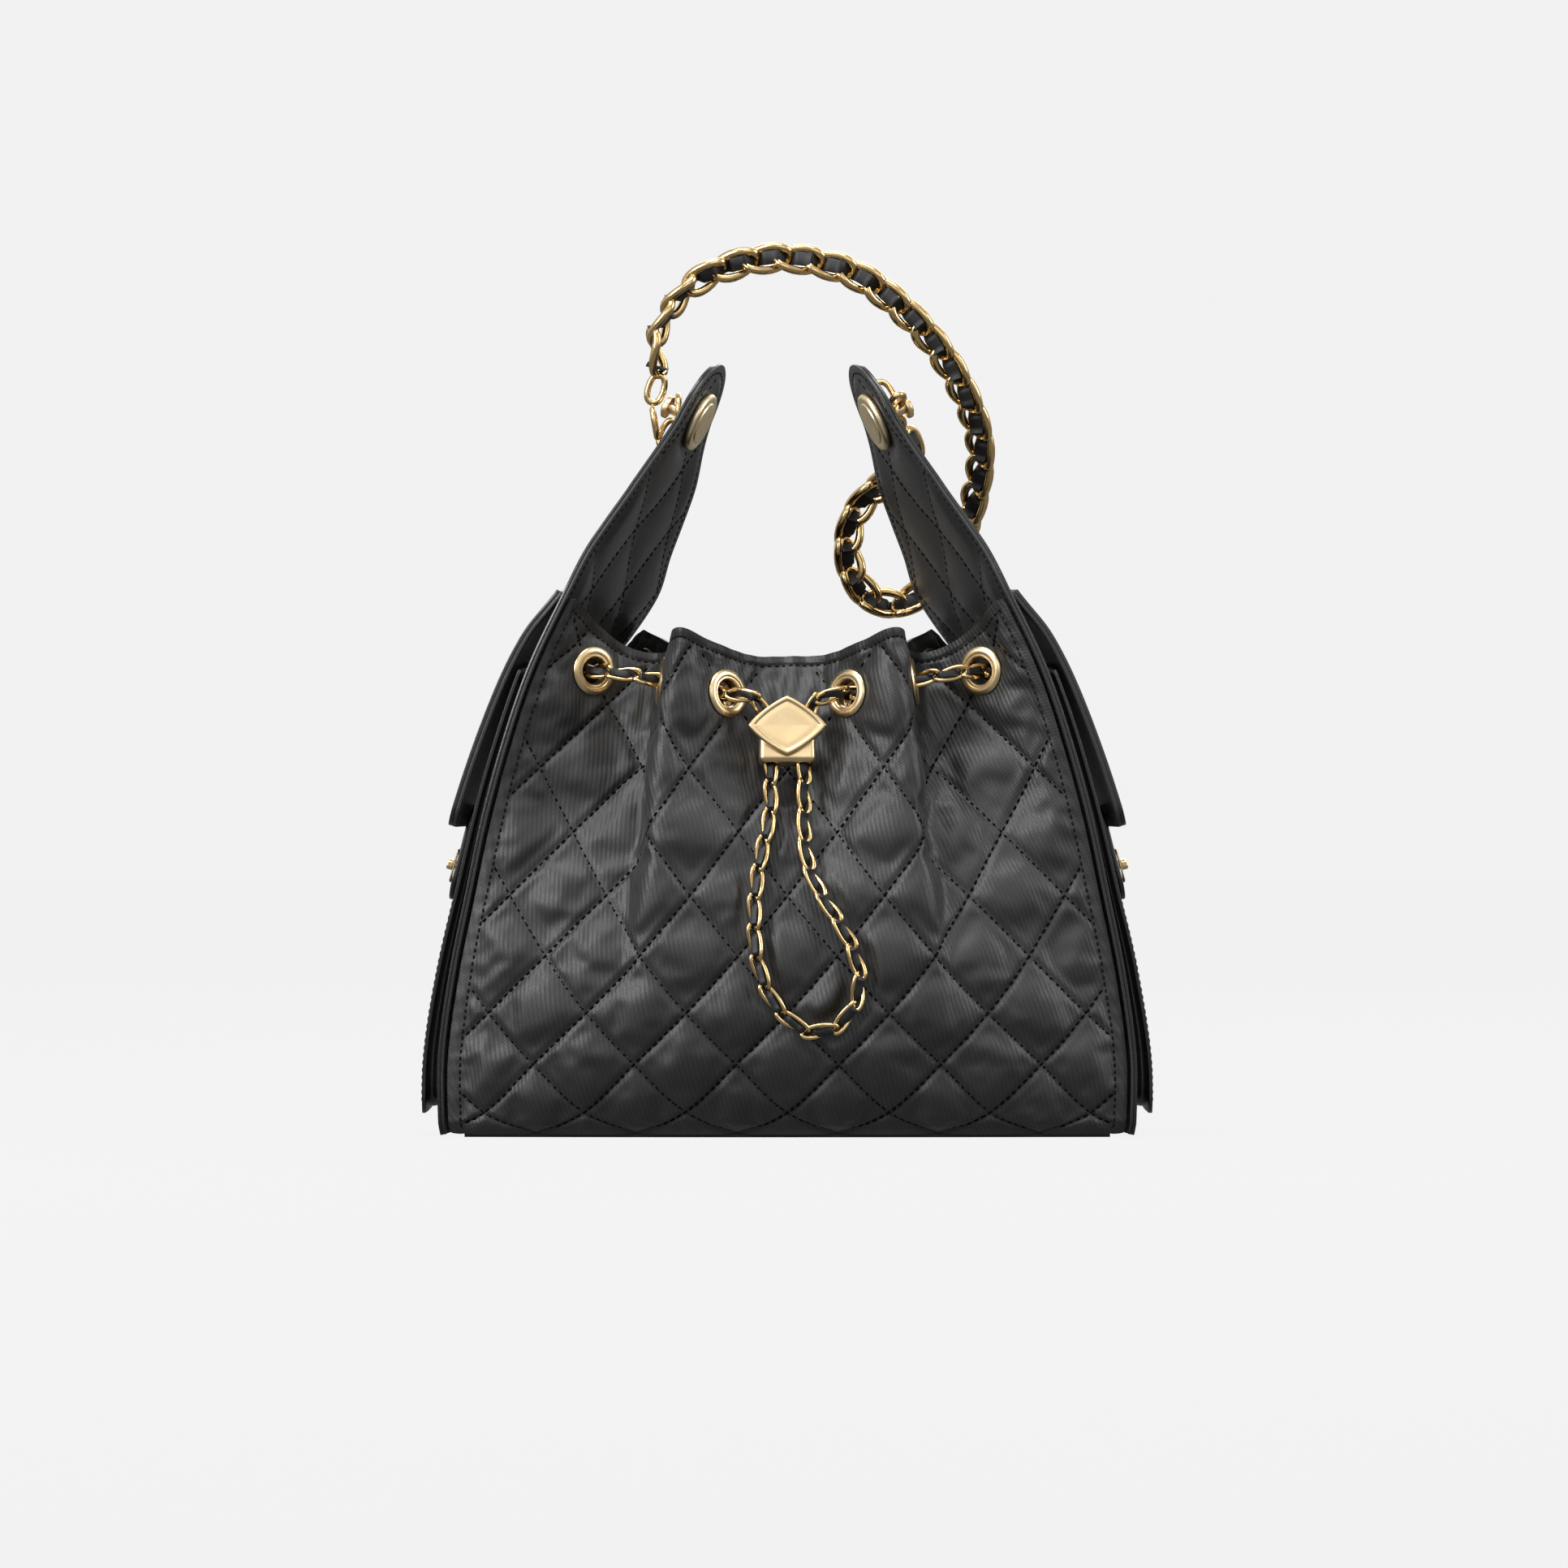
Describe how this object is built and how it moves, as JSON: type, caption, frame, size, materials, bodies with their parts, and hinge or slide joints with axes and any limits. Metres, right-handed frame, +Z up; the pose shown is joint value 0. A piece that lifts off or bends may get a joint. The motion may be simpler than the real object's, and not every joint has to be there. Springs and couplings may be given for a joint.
{
  "type": "bucket bag",
  "caption": "Quilted bucket bag gathered by a chain drawstring, with leather sides that rise into two ears, a flap pocket on each side and a woven chain shoulder strap.",
  "frame": {"origin": "middle of the bag's footprint, on the surface it stands on", "axes": "+X to the bag's right as seen from the front, -Y to the front, +Z up"},
  "size_m": [0.2694, 0.1434, 0.3315],
  "materials": {
    "quilted_twill": "satin twill, diamond quilted",
    "black_leather": "smooth, glossy",
    "lining_cloth": "plain woven",
    "board": "pressed fibre board",
    "pale_gold": "satin gold plate",
    "gold_chain": "polished gold plate, black leather ribbon woven in"
  },
  "bodies": {
    "bag": {"front_panel": "quilted_twill", "back_panel": "quilted_twill", "base_panel": "quilted_twill", "base_board": "board", "lining_bag": "lining_cloth", "grommet_front_inner_left": "pale_gold", "grommet_front_inner_right": "pale_gold", "grommet_front_middle_left": "pale_gold", "grommet_front_middle_right": "pale_gold", "grommet_front_outer_left": "pale_gold", "grommet_front_outer_right": "pale_gold", "grommet_back_inner_left": "pale_gold", "grommet_back_inner_right": "pale_gold", "grommet_back_middle_left": "pale_gold", "grommet_back_middle_right": "pale_gold", "grommet_back_outer_left": "pale_gold", "grommet_back_outer_right": "pale_gold", "side_leather_left": "black_leather", "pocket_left": "black_leather", "turn_lock_plate_left": "pale_gold", "ear_disc_left": "pale_gold", "ear_washer_left": "pale_gold", "ear_button_left": "pale_gold", "side_leather_right": "black_leather", "pocket_right": "black_leather", "turn_lock_plate_right": "pale_gold", "ear_disc_right": "pale_gold", "ear_washer_right": "pale_gold", "ear_button_right": "pale_gold", "drawstring_run": "gold_chain"},
    "flap_left_body": {"flap_left": "black_leather", "flap_tab_left": "black_leather", "turn_lock_rim_left": "pale_gold"},
    "flap_right_body": {"flap_right": "black_leather", "flap_tab_right": "black_leather", "turn_lock_rim_right": "pale_gold"},
    "knob_left_body": {"turn_lock_knob_left": "pale_gold"},
    "knob_right_body": {"turn_lock_knob_right": "pale_gold"},
    "pull_loop": {"drawstring_loop": "gold_chain"},
    "slider": {"slider_block": "pale_gold", "slider_plaque": "pale_gold"},
    "strap": {"strap_ring_left": "gold_chain", "strap_ring_right": "gold_chain", "shoulder_chain": "gold_chain"}
  },
  "joints": [
    {"name": "flap_left_hinge", "type": "hinge", "parent": "bag", "child": "flap_left_body", "pos_m": [-0.06887, 0.00105, 0.20149], "axis": [0.342, 0.9397, 0], "range_deg": [0, 90]},
    {"name": "flap_right_hinge", "type": "hinge", "parent": "bag", "child": "flap_right_body", "pos_m": [0.06887, 0.00105, 0.20149], "axis": [0.342, -0.9397, 0], "range_deg": [0, 90]},
    {"name": "knob_left_turn", "type": "hinge", "parent": "bag", "child": "knob_left_body", "pos_m": [-0.12263, 0.00061, 0.09973], "axis": [-0.96, 0.0613, 0.2731], "range_deg": [0, 90]},
    {"name": "knob_right_turn", "type": "hinge", "parent": "bag", "child": "knob_right_body", "pos_m": [0.12263, 0.00061, 0.09973], "axis": [0.96, 0.0613, 0.2731], "range_deg": [0, 90]},
    {"name": "pull_loop_swing", "type": "hinge", "parent": "bag", "child": "pull_loop", "pos_m": [0, -0.0417, 0.1633], "axis": [-1, 0, 0], "range_deg": [0, 40]},
    {"name": "slider_slide", "type": "slide", "parent": "pull_loop", "child": "slider", "axis": [0, -0.3019, -0.9533], "range_m": [0, 0.018]},
    {"name": "strap_swing", "type": "hinge", "parent": "bag", "child": "strap", "pos_m": [0, 0.00145, 0.26872], "axis": [1, 0, 0], "range_deg": [0, 70]}
  ]
}
